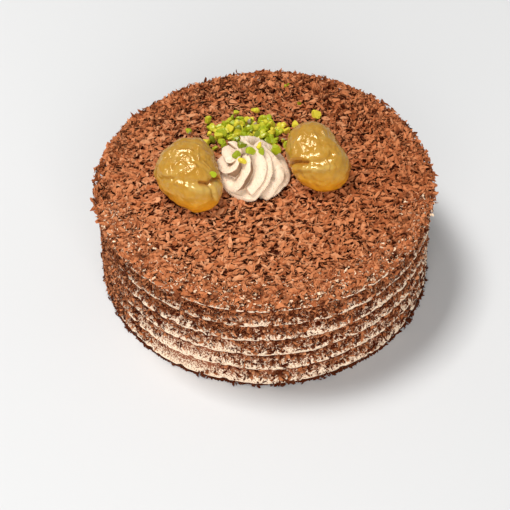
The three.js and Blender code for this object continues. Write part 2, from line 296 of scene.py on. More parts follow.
def cream_section():
    """Radius and height of the rings, up the side and in over the top: the foot, a ridge and a
    hollow per pitch, the highest lip, a quarter circle for the rim, and the flat top."""
    pitches = np.arange(LIP_COUNT - 1)[:, None]
    highest_lip = LOWEST_LIP + (LIP_COUNT - 1) * LIP_PITCH
    rim = LIP_RADIUS - RIM_SET_BACK
    turn = np.linspace(0, np.pi / 2, 8)
    radii = [
        [LIP_RADIUS - 2 * MM, LIP_RADIUS - LIP_DEPTH, LIP_RADIUS - 1 * MM],
        np.tile(LIP_RADIUS - side_inward(LIP_RINGS) * LIP_DEPTH, LIP_COUNT - 1),
        [LIP_RADIUS, LIP_RADIUS - 0.6 * MM],
        rim - RIM_ROUNDING * (1 - np.cos(turn)),
        np.linspace(rim - RIM_ROUNDING, 0, TOP_RINGS + 2)[1:-1],
    ]
    heights = [
        [0, LOWEST_LIP * 0.5, LOWEST_LIP * 0.85],
        (LOWEST_LIP + (pitches + LIP_RINGS) * LIP_PITCH).ravel(),
        [highest_lip, highest_lip + 0.4 * MM],
        CREAM_TOP - RIM_ROUNDING * (1 - np.sin(turn)),
        np.full(TOP_RINGS, CREAM_TOP),
    ]
    return np.concatenate(radii), np.concatenate(heights)


def uneven_side(bearing, height):
    """How far the hand-held comb strays outwards: three waves of 0.35 mm and eight of 0.3 mm round
    the cake, which shift with the height."""
    slow = 0.35 * np.sin(3 * bearing + height / (19 * MM))
    return (slow + 0.3 * np.sin(8 * bearing + 2 - height / (11 * MM))) * MM


def cream_coat():
    """The section carried round the cake, with the comb's waves and fine drag lines and with small
    tears in the lips. Returned with how far in each point lies, from 0 on a lip to 1 in a hollow."""
    radius, height = cream_section()
    bearing = np.linspace(0, 2 * np.pi, CREAM_STEPS, endpoint=False)
    radius, height, bearing = np.broadcast_arrays(radius[:, None], height[:, None], bearing)
    on_side = np.clip(height / LOWEST_LIP, 0, 1) * np.clip((radius / LIP_RADIUS) ** 6, 0, 1)
    even = polar(radius, bearing, height)
    drag = ripples(even * [1, 1, 6], 7 * MM, seed=3) * DRAG_DEPTH
    near_lip = 1 - np.clip((LIP_RADIUS - radius) / (0.5 * LIP_DEPTH), 0, 1)
    torn = np.clip(ripples(even, 5 * MM, seed=8) - 0.25, 0, 1) * LIP_TEAR * near_lip
    pushed = radius + on_side * (uneven_side(bearing, height) + drag - torn)
    lifted = height + on_side * ripples(even, 26 * MM, seed=5) * 0.45 * MM
    on_top = (1 - on_side) * (height > LOWEST_LIP)
    lifted = lifted + on_top * ripples(even, 14 * MM, seed=6) * 0.3 * MM
    points, faces = capped_rings(polar(pushed, bearing, lifted), [0, 0, 0], [0, 0, CREAM_TOP])
    hollow = np.clip((LIP_RADIUS - radius) / LIP_DEPTH, 0, 1).ravel()
    return points, faces, np.append(hollow, [0, 0])


def cream_finish():
    """Ivory whipped cream, tinted by cocoa dust and specks and by painted shade, both most in the
    hollows under the ridges, and painted near black under the shavings on top, as the shade between them."""
    cream = Finish("whipped_cream", Roughness=0.7, Specular_IOR_Level=0.1)
    height = cream.node("ShaderNodeSeparateXYZ", {}, [cream.place()], 2)
    # Painted shade: the hollow value pushes the dust tint and the dark specks into the hollows under the
    # lips
    dust_and_painted_shade = cream.ramp(cream.grain(1.4 * MM, 4.0, 0.65) + cream.value("hollow") * 0.25, 0.56, 0.70)
    tinted = cream.mix(dust_and_painted_shade * 0.6, CREAM, CREAM_DUST_AND_SHADE)
    specks_and_painted_shade = cream.ramp(cream.grain(0.9 * MM, 2.0, 0.6) + cream.value("hollow") * 0.3, 0.66, 0.70)
    tinted = cream.mix(specks_and_painted_shade * 0.9, tinted, COCOA_AND_SHADE)
    uneven = (cream.grain(2.5 * MM, 3.0) - 0.5) * 6 * MM
    # Painted shade: near black under the shavings on top, for the shade in the gaps between them
    top = cream.ramp(height + uneven, BED_FROM, BED_TO)
    colour = cream.mix(top, tinted, SHADE_UNDER_SHAVINGS)
    relief = cream.bump(cream.grain(0.9 * MM, 3.0, 0.6), 0.12 * MM)
    return cream.surface(Base_Color=colour, Normal=relief)


points, faces, hollow = cream_coat()
cream_body = mesh_piece("cream_coat", points, faces, hollow=hollow)
cream_body.data.materials.append(cream_finish())
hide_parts("cake")
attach(cream_body, "root")


# ---- The shavings ----
# Milk chocolate scraped off a block with a knife: thin chips and short curls, thrown over the top
# and pressed to the side by hand, so that they are thick on top and patchy between the ridges.

FLAKE_THICKNESS = 0.35 * MM
TOP_RADIUS = 93 * MM
RIM_MIDDLE = LIP_RADIUS - 4.5 * MM  # of the round heap that lies on the rim
RIM_LEVEL = CAKE_HEIGHT - 5.2 * MM
RIM_BULGE = 5.6 * MM  # from there out to the surface of the heap
BACK_RAISED = 1.2 * MM
FRONT_BARED = 1.6 * MM
STREWN_SHARE = 0.4  # of the rim's flakes, strewn inwards over the top
STREWN_REACH = 12 * MM
# How far out the rim is heaped besides, in mm, and at which bearings in degrees
HEAP_BEARINGS = [-180, -150, -40, 0, 20, 48, 85, 118, 145, 180]
HEAP_OUTWARD = [1.8, 0, 0, 0.6, 0.4, 2.2, 1.4, -1.5, 1, 1.8]
BARE_BEARING = np.radians(240)  # where the side has the fewest shavings
BARE_REACH = np.radians(26)
COVERED_BEARING = np.radians(190)  # where it has the most
COVERED_REACH = np.radians(20)
COVERED_HEAP = 1.8 * MM
MILK_CHOCOLATE = (0.575, 0.208, 0.084, 1)
# Pale chocolate, partly a paler tone and partly a painted highlight
PALE_AND_HIGHLIT_CHOCOLATE = (0.80, 0.42, 0.225, 1)
DARK_CHOCOLATE = (0.28, 0.055, 0.010, 1)
# Painted shade: near black for points that lie deep between the flakes
CREVICE_SHADE = (0.055, 0.005, 0.0005, 1)
FLECK_CREAM = (0.92, 0.70, 0.49, 1)

# Footprints of the toppings, where no shavings are needed
ROSETTE_PLACE = np.array([-5.2, 2.9]) * MM
ROSETTE_RADIUS = 21 * MM
LEFT_CHESTNUT_PLACE = np.array([-43.6, -5.6]) * MM
RIGHT_CHESTNUT_PLACE = np.array([32.4, 5.4]) * MM
ROSETTE_FOOTPRINT = 19 * MM
LEFT_FOOTPRINT = 15 * MM
RIGHT_FOOTPRINT = 13 * MM


def unit(vectors):
    """Vectors divided by their lengths."""
    return vectors / np.linalg.norm(vectors, axis=-1, keepdims=True)


def flakes(places, facing, heading, length, width, stir, corners, draw):
    """Thin plates with ragged corners, joined in one mesh. Each lies on its place and faces out,
    stirred at random, with its long side near its heading. Its height is bend times x squared
    plus twist times x times y, and its middle is a flake's thickness deep."""
    count = len(places)
    facing = unit(facing + stir * draw.normal(size=(count, 3)))
    across = unit(np.cross(facing, heading))
    along = np.cross(across, facing)
    spoke = (np.arange(corners) + draw.uniform(-0.35, 0.35, (count, corners))) * 2 * np.pi / corners
    reach = draw.uniform(0.62, 1.15, spoke.shape)
    x, y = reach * np.cos(spoke), reach * np.sin(spoke)
    bend = draw.uniform(-0.15, 0.35, (count, 1))
    twist = draw.uniform(-0.3, 0.3, (count, 1))
    z = (bend * (x**2 - 0.5) + twist * x * y) * length[:, None]
    half = np.full(count, 0.5 * FLAKE_THICKNESS)
    middle = -0.5 * bend[:, 0] * length
    x = np.column_stack([0.5 * length[:, None] * x, np.zeros((count, 2))])
    y = np.column_stack([0.5 * width[:, None] * y, np.zeros((count, 2))])
    z = np.column_stack([z, middle + half, middle - half])
    local = np.stack([x, y, z], axis=-1)
    points = places[:, None, :] + local @ np.stack([along, across, facing], axis=1)
    points[..., 2] = np.maximum(points[..., 2], 0.1 * MM)
    corner = np.arange(corners)
    beside = (corner + 1) % corners
    top = np.stack([corner, beside, np.full(corners, corners)], axis=-1)
    under = np.stack([beside, corner, np.full(corners, corners + 1)], axis=-1)
    faces = np.arange(count)[:, None, None] * (corners + 2) + np.concatenate([top, under])
    tone = np.repeat(draw.uniform(0, 1, count), corners + 2)
    return points.reshape(-1, 3), [faces.reshape(-1, 3)], tone


def clear_of_toppings(x, y):
    """True where no topping stands on the shavings."""
    from_rosette = np.hypot(x - ROSETTE_PLACE[0], y - ROSETTE_PLACE[1])
    from_left = np.hypot(x - LEFT_CHESTNUT_PLACE[0], y - LEFT_CHESTNUT_PLACE[1])
    from_right = np.hypot(x - RIGHT_CHESTNUT_PLACE[0], y - RIGHT_CHESTNUT_PLACE[1])
    clear_of_nuts = (from_left > LEFT_FOOTPRINT) & (from_right > RIGHT_FOOTPRINT)
    return (from_rosette > ROSETTE_FOOTPRINT) & clear_of_nuts


def lengths_between(short, long, count, draw, rarity=1.6):
    """Random lengths, most of them near the short end: a random share to the power of the rarity."""
    return short + (long - short) * draw.uniform(0, 1, count) ** rarity


def depth_from(points, surface, shallow, deep):
    """How far a point lies under a surface, from 0 where it stands shallow to 1 where it is deep."""
    return np.clip((surface + shallow - points) / (shallow + deep), 0, 1)


def each_point(values, points):
    """One value for each flake, repeated for each of the flake's points."""
    return np.repeat(values, len(points) // len(values))


def bell(bearing, middle, reach):
    """1 at the middle, falling off as a bell curve on either side."""
    return np.exp(-(((bearing - middle) / reach) ** 2))


def top_flakes(count, seed, long, short, stir, lowest, highest, corners):
    """Flakes scattered evenly over the top's disc along a sunflower's spiral, between two levels over
    the middle of the layer, more stirred up towards the back and darker towards the right, which is painted
    shade."""
    draw = np.random.default_rng(seed)
    radius = TOP_RADIUS * np.sqrt((np.arange(count) + draw.uniform(0, 1, count)) / count)
    bearing = np.arange(count) * np.pi * (3 - np.sqrt(5)) + draw.uniform(-3, 3, count) * MM / radius
    places = polar(radius, bearing, CAKE_HEIGHT + draw.uniform(lowest, highest, count))
    places = places[clear_of_toppings(places[:, 0], places[:, 1])]
    number = len(places)
    stir = stir * (1 + 0.8 * np.clip(places @ [0.5, 0.8, 0] / TOP_RADIUS, -0.2, 1))[:, None]
    facing = np.tile([0.0, 0.0, 1.0], (number, 1))
    length = lengths_between(short, long, number, draw)
    width = length * draw.uniform(0.22, 0.54, number)
    heading = draw.normal(size=(number, 3)) + [1.2, 0.3, 0]
    points, faces, tone = flakes(places, facing, heading, length, width, stir, corners, draw)
    # Painted shade: the tone falls towards the right, away from the light, and points deep in the layer get
    # the crevice shade
    to_right = np.clip(points @ [0.85, 0.05, 0] / TOP_RADIUS, -0.1, 1)
    tone = np.clip(tone - 0.35 * to_right, 0, 1)
    return points, faces, tone, depth_from(points[:, 2], CAKE_HEIGHT, 0.9 * MM, 0.7 * MM)


def rim_flakes(count, seed, long, short, stir, proud, bearings=(-180, 180)):
    """Flakes heaped round the rim, on a quarter circle round its middle and facing anything between
    up and outwards, with a share of them strewn inwards. The front's outer ones lie less thick."""
    draw = np.random.default_rng(seed)
    bearing = np.radians(draw.uniform(*bearings, count))
    strewn = draw.uniform(0, 1, count) < STREWN_SHARE
    inwards = strewn * STREWN_REACH * draw.uniform(0, 1, count) ** 1.7
    lean = np.where(strewn, 0, draw.uniform(0.0, 0.85, count) * np.pi / 2)
    bared = FRONT_BARED * np.clip(-np.sin(bearing) * 2 - 0.2, 0, 1) * np.sin(lean) ** 2
    reach = RIM_BULGE + draw.uniform(-1.0, 1.3, count) * MM - bared + proud
    heaped = np.interp(np.degrees(bearing), HEAP_BEARINGS, HEAP_OUTWARD) * MM
    level = RIM_LEVEL + BACK_RAISED * np.clip(np.sin(bearing), 0, 1)
    radius = RIM_MIDDLE + (reach + heaped) * np.sin(lean) - inwards
    places = polar(radius, bearing, level + reach * np.cos(lean))
    out = polar(np.sin(lean), bearing, np.cos(lean))
    length = lengths_between(short, long, count, draw)
    width = length * draw.uniform(0.3, 0.6, count)
    heading = draw.normal(size=(count, 3)) + 0.7 * np.cross(polar(1, bearing, 0), [0, 0, 1])
    points, faces, tone = flakes(places, out, heading, length, width, stir, 6, draw)
    # Points deep inside the heap get painted crevice shade. Whole flakes are also darker at random and the
    # more they lean outwards.
    past_middle = np.maximum(np.hypot(points[:, 0], points[:, 1]) - RIM_MIDDLE, 0)
    from_middle = np.hypot(past_middle, points[:, 2] - each_point(level, points))
    deep = depth_from(from_middle, each_point(RIM_BULGE - bared, points), 0.8 * MM, 0.9 * MM)
    outward = each_point(lean / (np.pi / 2), points)
    shade = each_point(draw.uniform(0, 0.35, count), points) + 0.2 * ripples(points, 7 * MM, seed=24)
    deep = np.clip(0.1 + shade + 0.15 * outward + 0.8 * deep, 0, 1)
    return points, faces, tone * (0.85 - 0.3 * outward), deep


def side_thickness(bearing, height, share):
    """How thick the flakes lie on the side: by the share of the pitch above a lip, thickest in the
    hollow, more towards the top, in patches, few at the bare bearing and many at the covered one."""
    covered = 0.9 * bell(bearing, COVERED_BEARING, COVERED_REACH)
    pitch_shares = [0, 0.06, 0.16, 0.35, 0.55, 0.88, 0.93, 1]
    hollow = np.interp(share, pitch_shares, [0.15, 0.25, 0.7, 0.95, 1.2, 1.3, 0.3, 0.15])
    hollow = np.maximum(hollow, covered * 0.8)
    upward = np.interp(height, np.array([0, 15, 38, 50, 62]) * MM, [0.7, 0.75, 0.95, 1.3, 1.7])
    bare = bell(bearing, BARE_BEARING, BARE_REACH) * np.clip(1.4 - height / (45 * MM), 0, 1)
    wall = polar(LIP_RADIUS, bearing, height)
    patches = 0.95 + 0.35 * ripples(wall, 16 * MM, seed=21) + 0.3 * ripples(wall, 5 * MM, seed=22)
    return hollow * (upward - 0.75 * bare + covered) * np.clip(patches, 0.15, 1.3)


def side_flakes(count, seed, long, short, slender, stir):
    """Flakes on the combed side. Random places are tried, and one is kept where its draw is below
    the thickness there. Few flakes stick out past the lips, and the rest are pressed in."""
    draw = np.random.default_rng(seed)
    tries = count * 8
    bearing = draw.uniform(0, 2 * np.pi, tries)
    height = draw.uniform(0.8 * MM, 65 * MM, tries)
    share = ((height - LOWEST_LIP) / LIP_PITCH) % 1
    kept = draw.uniform(0, 1.5, tries) < side_thickness(bearing, height, share)
    kept = np.flatnonzero(kept)[:count]
    number = len(kept)
    bearing, height, share = bearing[kept], height[kept], share[kept]
    wall = LIP_RADIUS - side_inward(share) * LIP_DEPTH + uneven_side(bearing, height)
    heaped = COVERED_HEAP * bell(bearing, COVERED_BEARING, COVERED_REACH)
    radius = wall + draw.uniform(0.0, 1.0, number) * (0.6 * MM + 0.9 * height / 60 + heaped)
    length = lengths_between(short, long, number, draw, rarity=1.8)
    width = length * slender * draw.uniform(0.7, 1.4, number)
    heading = draw.normal(size=(number, 3)) + [0, 0, 0.6]
    places, out = polar(radius, bearing, height), polar(1, bearing, 0.3)
    points, faces, tone = flakes(places, out, heading, length, width, stir, 6, draw)
    from_axis = np.hypot(points[:, 0], points[:, 1])
    stuck_out = np.where(draw.uniform(0, 1, number) < 0.2, 0.9 * MM, -0.2 * MM)
    furthest = LIP_RADIUS + uneven_side(bearing, height) + stuck_out + heaped
    points[:, :2] *= np.minimum(1, each_point(furthest, points) / from_axis)[:, None]
    # Painted shade: every point gets a base share of the crevice shade, more where it lies close to the
    # wall in the hollows, and a random share per flake, and the tone is lowered
    deep = depth_from(from_axis, each_point(wall, points), 1.3 * MM, 0.2 * MM)
    shade = each_point(draw.uniform(0, 1, number), points)
    return points, faces, tone * 0.9, 0.26 + 0.5 * shade + 0.27 * deep


def foot_flakes(count, seed, long, short):
    """Flakes that slid down and lie in small clumps round the foot, the lower the further out."""
    draw = np.random.default_rng(seed)
    bearing = draw.uniform(0, 2 * np.pi, count)
    around = polar(1, bearing, 0)
    clump = np.clip(0.5 + ripples(around * LIP_RADIUS, 12 * MM, seed=23), 0.1, 1)
    height = draw.uniform(0.4 * MM, 3.4 * MM, count) * clump
    spread = draw.uniform(-1.0 * MM, 3.8 * MM, count) * clump * (1 - height / (4 * MM))
    places = polar(LIP_RADIUS - 1 * MM + spread, bearing, height)
    length = lengths_between(short, long, count, draw)
    width = length * draw.uniform(0.3, 0.7, count)
    heading = draw.normal(size=(count, 3))
    points, faces, tone = flakes(places, around + [0, 0, 0.8], heading, length, width, 0.5, 6, draw)
    # Painted shade: all foot flakes get the same depth of 0.68, which paints them mostly in the crevice
    # shade, and a lower tone
    return points, faces, tone * 0.8, np.full(len(points), 0.68)


def chocolate_finish():
    """Scraped milk chocolate: each flake has its own tone, dull, with a faint waxy sheen. The palest
    tones stand in part for painted highlights, and painted shade goes near black deep between the flakes."""
    chocolate = Finish("milk_chocolate", Roughness=0.6, Specular_IOR_Level=0.06)
    tone = chocolate.value("tone")
    # The palest tones, at random per flake, are partly a paler chocolate and partly painted highlights
    colour = chocolate.mix(chocolate.ramp(tone, 0.55, 1.0, 0.0, 0.55), MILK_CHOCOLATE, PALE_AND_HIGHLIT_CHOCOLATE)
    colour = chocolate.mix(chocolate.ramp(tone, 0.0, 0.35, 0.6, 0.0), colour, DARK_CHOCOLATE)
    # Painted shade: the deeper a point lies, the more it is painted near black
    painted_crevice_shade = chocolate.ramp(chocolate.value("deep"), 0.3, 0.75, 0.0, 0.97)
    colour = chocolate.mix(painted_crevice_shade, colour, CREVICE_SHADE)
    relief = chocolate.bump(chocolate.grain(0.6 * MM, 3.0, 0.6), 0.08 * MM)
    return chocolate.surface(Base_Color=colour, Normal=relief)


def fleck_finish():
    """Crumbs of the cream, smeared brown in places."""
    fleck = Finish("cream_fleck", Roughness=0.6, Specular_IOR_Level=0.2)
    smeared = fleck.ramp(fleck.grain(0.8 * MM, 2.0), 0.45, 0.65, 0.0, 0.5)
    relief = fleck.bump(fleck.grain(0.6 * MM, 2.0), 0.1 * MM)
    return fleck.surface(Base_Color=fleck.mix(smeared, FLECK_CREAM, CREAM_DUST_AND_SHADE), Normal=relief)


def add_flakes(name, shape, material):
    """One piece of flakes, with the tone and the depth of each of its points."""
    points, faces, tone, deep = shape
    piece = mesh_piece(name, points, faces, smooth=False, tone=tone, deep=deep)
    piece.data.materials.append(material)
    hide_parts("cake")
    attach(piece, "root")


LARGE_ON_TOP = dict(long=8.8 * MM, short=3.6 * MM, stir=0.42, lowest=-0.5 * MM, highest=1.0 * MM, corners=8)
SMALL_ON_TOP = dict(long=4.4 * MM, short=1.8 * MM, stir=0.5, lowest=-1.3 * MM, highest=0.5 * MM, corners=6)
LARGE_ON_RIM = dict(long=7.0 * MM, short=2.8 * MM, stir=0.55, proud=0)
SMALL_ON_RIM = dict(long=3.6 * MM, short=1.6 * MM, stir=0.7, proud=0)
PROUD_ON_RIM = dict(long=7.0 * MM, short=2.8 * MM, stir=0.8, proud=1.2 * MM)
CREAM_ON_RIM = dict(long=3.4 * MM, short=1.5 * MM, stir=0.6, proud=0.3 * MM, bearings=(-172, -8))
LARGE_ON_SIDE = dict(long=6.2 * MM, short=2.6 * MM, slender=0.4, stir=0.45)
SMALL_ON_SIDE = dict(long=2.6 * MM, short=1.3 * MM, slender=0.5, stir=0.6)
SLENDER_ON_SIDE = dict(long=6.0 * MM, short=2.6 * MM, slender=0.2, stir=0.55)
AT_FOOT = dict(long=4.0 * MM, short=1.6 * MM)

milk_chocolate = chocolate_finish()
add_flakes("flakes_top_large", top_flakes(8800, 31, **LARGE_ON_TOP), milk_chocolate)
add_flakes("flakes_top_small", top_flakes(9000, 35, **SMALL_ON_TOP), milk_chocolate)
add_flakes("flakes_rim_large", rim_flakes(5200, 32, **LARGE_ON_RIM), milk_chocolate)
add_flakes("flakes_rim_small", rim_flakes(6500, 38, **SMALL_ON_RIM), milk_chocolate)
add_flakes("flakes_rim_proud", rim_flakes(1100, 40, **PROUD_ON_RIM), milk_chocolate)
add_flakes("flakes_side_large", side_flakes(12500, 33, **LARGE_ON_SIDE), milk_chocolate)
add_flakes("flakes_side_small", side_flakes(13000, 36, **SMALL_ON_SIDE), milk_chocolate)
add_flakes("flakes_side_slender", side_flakes(11000, 37, **SLENDER_ON_SIDE), milk_chocolate)
add_flakes("flakes_foot", foot_flakes(2800, 34, **AT_FOOT), milk_chocolate)
add_flakes("cream_flecks", rim_flakes(1450, 39, **CREAM_ON_RIM), fleck_finish())


# ---- The rosette ----
# Chestnut cream piped through a star nozzle with eight teeth, turned and drawn up to a tip that
# leans to the back left. Its ribs curl round an eye in front of the tip and fold over one another.

ROSETTE_HEIGHT = 28 * MM
ROSETTE_LEAN = np.array([-7.8, 7.0]) * MM
TOPPING_LEVEL = CAKE_HEIGHT + 0.3 * MM
ROSETTE_SUNK = 1 * MM  # into the shavings
ROSETTE_ROWS = 199  # from the foot to the tip
ROSETTE_STEPS = 480  # round it
TIP_SHARE = 0.12  # of the height, over which the ribs fade into the tip
RIB_DEPTH = 6.5 * MM
RIB_FACE = 7 * MM  # over which a rib's broad face falls by its depth
RIB_DROP = 3.5 * MM  # over which its other side does
RIB_OVERHANG = 1.2 * MM
CHESTNUT_CREAM = (0.86, 0.68, 0.51, 1)
# Painted shade for the pits and for the ribs' steep sides
CHESTNUT_CREAM_IN_SHADE = (0.27, 0.15, 0.08, 1)

# The ribs' crests from the foot up: how far up the rosette, as a share of its height, and at which
# bearing in degrees
RIB_CRESTS = [
    [(0.2, 105), (0.38, 130), (0.56, 150), (0.67, 186), (0.66, 209), (0.66, 223), (0.72, 231)],
    [
        (0.1, 125), (0.25, 150), (0.38, 173), (0.44, 202), (0.48, 216), (0.56, 232), (0.64, 243),
        (0.76, 248),
    ],
    [
        (0.12, 165), (0.2, 190), (0.25, 208), (0.21, 222), (0.21, 236), (0.31, 247), (0.46, 258),
        (0.59, 271), (0.69, 281), (0.78, 283),
    ],
    [
        (0.24, 267), (0.35, 280), (0.46, 295), (0.57, 310), (0.67, 325), (0.75, 328), (0.81, 333),
        (0.89, 321), (0.97, 320),
    ],
    [
        (0.08, 205), (0.05, 225), (0.04, 240), (0.04, 255), (0.08, 266), (0.2, 277), (0.31, 290),
        (0.41, 305), (0.5, 319), (0.57, 331), (0.64, 342), (0.71, 349),
    ],
    [
        (0.05, 288), (0.12, 299), (0.25, 309), (0.26, 327), (0.3, 338), (0.39, 347), (0.48, 352),
        (0.6, 354), (0.67, 359), (0.75, 368),
    ],
    [
        (0.12, 300), (0.16, 322), (0.14, 341), (0.14, 358), (0.22, 369), (0.27, 382), (0.35, 389),
        (0.54, 393), (0.7, 400),
    ],
    [(0.1, 345), (0.12, 370), (0.18, 392), (0.3, 408), (0.45, 418), (0.65, 428), (0.85, 430)],
    [(0.08, 15), (0.1, 40), (0.18, 62), (0.3, 78), (0.5, 90), (0.72, 100)],
    [(0.08, 60), (0.12, 85), (0.22, 105), (0.36, 118), (0.52, 128), (0.68, 140)],
]


def dome(share, bearing):
    """The rosette's outer form at a share of its height: a radius that falls slowly and then fast
    and is drawn in at the foot, round a middle that leans away."""
    tucked = 0.93 + 0.07 * np.minimum(1, share / 0.12)
    radius = 1.02 * ROSETTE_RADIUS * tucked * np.clip(1 - share**2.8, 0, 1) ** 1.3
    x = ROSETTE_PLACE[0] + radius * np.cos(bearing) + ROSETTE_LEAN[0] * share
    y = ROSETTE_PLACE[1] + radius * np.sin(bearing) + ROSETTE_LEAN[1] * share
    return np.stack([x, y, TOPPING_LEVEL + ROSETTE_HEIGHT * share], axis=-1)


def crest_line(crest):
    """A rib's crest as 60 points on the dome, each the mean of 9 neighbours along the straight lines
    between its corners, which rounds the corners off."""
    shares, bearings = np.transpose(crest)
    corner = np.arange(len(crest))
    step = np.linspace(0, len(crest) - 1, 60)
    fine = np.stack([np.interp(step, corner, shares), np.interp(step, corner, bearings)])
    padded = np.pad(fine, ((0, 0), (4, 4)), mode="reflect", reflect_type="odd")
    share, bearing = np.stack([np.convolve(row, np.full(9, 1 / 9), "valid") for row in padded])
    return dome(share, np.radians(bearing))


def folded_ribs(points, outward):
    """How far a point stands up, 1 on a crest, the way its rib leans, and whether it is on a steep
    side. A rib falls slowly on its left and steeply on its right, and the highest rib wins."""
    rise = np.full(points.shape[:-1], -1.0)
    steep = np.zeros(points.shape[:-1])
    lean = np.zeros(points.shape)
    wobble = (0.22 * ripples(points, 6 * MM, seed=42) + 0.08 * ripples(points, 2 * MM, seed=43)) * MM
    for crest in RIB_CRESTS:
        line = crest_line(crest)
        nearest = ((points[..., None, :] - line) ** 2).sum(-1).argmin(-1)
        right = unit(np.cross(unit(np.gradient(line, axis=0))[nearest], outward))
        gap = points - line[nearest]
        to_right = (gap * right).sum(-1)
        beyond_end = np.sqrt(np.maximum((gap**2).sum(-1) - to_right**2, 0))
        aside = to_right + wobble
        face = (np.abs(aside) / RIB_FACE) ** 1.6
        drop = (np.abs(aside) / RIB_DROP) ** 0.85
        height = 1 - np.where(aside < 0, face, drop) - beyond_end / (5 * MM)
        higher = height > rise
        rise = np.where(higher, height, rise)
        lean = np.where(higher[..., None], right, lean)
        steep = np.where(higher, np.clip(aside / (0.8 * MM), 0, 1), steep)
    return rise, lean, steep


def rosette_rings():
    """The dome's rings, sunk between the ribs and pushed over to the right near the crests. Returned
    with whether each point is on a rib's steep side."""
    share = (np.linspace(0, 1, ROSETTE_ROWS + 1)[:-1] ** 0.85)[:, None]
    bearing = np.linspace(0, 2 * np.pi, ROSETTE_STEPS, endpoint=False)[None, :]
    share, bearing = np.broadcast_arrays(share, bearing)
    rings = dome(share, bearing)
    along_ring = np.roll(rings, -1, axis=1) - np.roll(rings, 1, axis=1)
    outward = unit(np.cross(along_ring, np.gradient(rings, axis=0)))
    rise, lean, steep = folded_ribs(rings, outward)
    rise = np.clip(rise, 0.1, 1)
    below_tip = np.clip((1 - share) / TIP_SHARE, 0, 1)
    sunk = RIB_DEPTH * (1 - rise) * below_tip - 0.12 * MM * ripples(rings, 3 * MM, seed=41)
    pushed = RIB_OVERHANG * rise**5 * below_tip
    rings = rings - sunk[..., None] * outward + pushed[..., None] * lean
    base = TOPPING_LEVEL - ROSETTE_SUNK
    rings[..., 2] = np.maximum(rings[..., 2], base)
    rings[0, :, 2] = base
    points, faces = capped_rings(rings, [*ROSETTE_PLACE, base], rings[-1].mean(axis=0))
    return points, faces, np.append(steep.ravel(), [0, 0])


def chestnut_cream_finish():
    """Smooth pale brown cream with the small pits of burst bubbles, painted dark as shade,
    and painted shade on the ribs' steep sides.
    """
    cream = Finish("chestnut_cream", Roughness=0.5, Specular_IOR_Level=0.3)
    cream.surface(Subsurface_Weight=0.12, Subsurface_Scale=0.002, Subsurface_Radius=(1.0, 0.6, 0.35))
    pits = cream.ramp(cream.grain(0.7 * MM, 1.0), 0.66, 0.74)
    # Painted shade: the pits and the ribs' steep sides are painted darker
    colour = cream.mix(pits * 0.55 + cream.value("steep") * 0.9, CHESTNUT_CREAM, CHESTNUT_CREAM_IN_SHADE)
    relief = cream.bump(cream.grain(0.8 * MM, 3.0, 0.6) - pits, 0.10 * MM)
    return cream.surface(Base_Color=colour, Normal=relief)


points, faces, steep = rosette_rings()
rosette = mesh_piece("rosette", points, faces, steep=steep)
rosette.data.materials.append(chestnut_cream_finish())
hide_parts("cream_rosette")
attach(rosette, "root")


# ---- The candied chestnuts ----
# Whole peeled chestnuts, simmered in syrup until they turn amber and clear. Each keeps the crease
# where its two lobes meet, is wrinkled on top, and stands a little on edge with its face to the front.

CHESTNUT_TILT = np.radians(20)
CHESTNUT_SUNK = 1.6 * MM
CHESTNUT_FLAT = 0.6 * MM  # how far under the toppings' level it is pressed flat
CHESTNUT_SQUARES = 120  # along each edge of the cube that its mesh starts from
AMBER = (0.45, 0.228, 0.024, 1)
AMBER_PALE = (0.54, 0.35, 0.085, 1)
AMBER_DEEP = (0.72, 0.30, 0.007, 1)
# Painted shade in the crease, under the upper lobe
AMBER_CREASE_SHADE = (0.36, 0.10, 0.015, 1)
DEEP_AMBER_BETWEEN = (71 * MM, 87 * MM)  # heights over which the amber clears upwards
WRINKLED_BETWEEN = (82 * MM, 92 * MM)  # heights over which the wrinkles start

# Each fold is a line over the face, in mm from the chestnut's middle, with its height (a crease has
# a height below 0) and its width. The first is the crease between the lobes.
LEFT_CHESTNUT = dict(
    place=LEFT_CHESTNUT_PLACE + [0.5 * MM, -1.0 * MM],
    radius=20.7 * MM,
    half_height=14 * MM,
    oval=(0.13, np.radians(-139)),
    corner=(0.074, np.radians(-160)),
    folds=[
        ([(5.8, -9.8), (9.7, -10.2), (14, -8), (19, -5)], -1.3, 0.8),
        (
            [(-19, -6), (-14.4, -7.8), (-7.5, -9.1), (-2.1, -10.2), (5.8, -9.8), (9.7, -10.2), (19, -5)],
            -0.9,
            1.6,
        ),
        ([(9.7, -10.2), (11.4, -12), (12, -15)], -1.0, 1.0),
        ([(-8.8, -11.3), (-5.2, -12.7), (1, -13), (6, -12)], 0.6, 1.3),
        ([(-6.6, 8.8), (-2.9, 9), (2, 7.6)], 0.5, 0.7),
        (
            [(-9.3, -2.1), (-6.3, 1), (-4.2, 2.1), (-1.6, -1.1), (0, -2.9), (-3.4, -5), (-6.5, -6.5)],
            0.6,
            0.6,
        ),
        ([(-3.9, 4.2), (-1, 4.3), (0.5, 2.7)], 0.5, 0.6),
        ([(-1.8, -6.6), (1.3, -3.7), (3.7, -1.8)], 0.6, 1.0),
        ([(10.4, 2.8), (12.3, 0.4), (13.3, -1.6)], 0.4, 0.6),
        ([(4.9, 11.3), (5.5, 7.1), (6.7, 3.5)], 0.35, 0.7),
    ],
    # Pale streaks along the lower lobe's ledge, each a line and a width: partly a paler amber and partly a
    # painted highlight
    pale=[([(1, -12.5), (9, -12), (15, -9)], 2.0), ([(13, -14), (15, -11)], 1.8)],
)
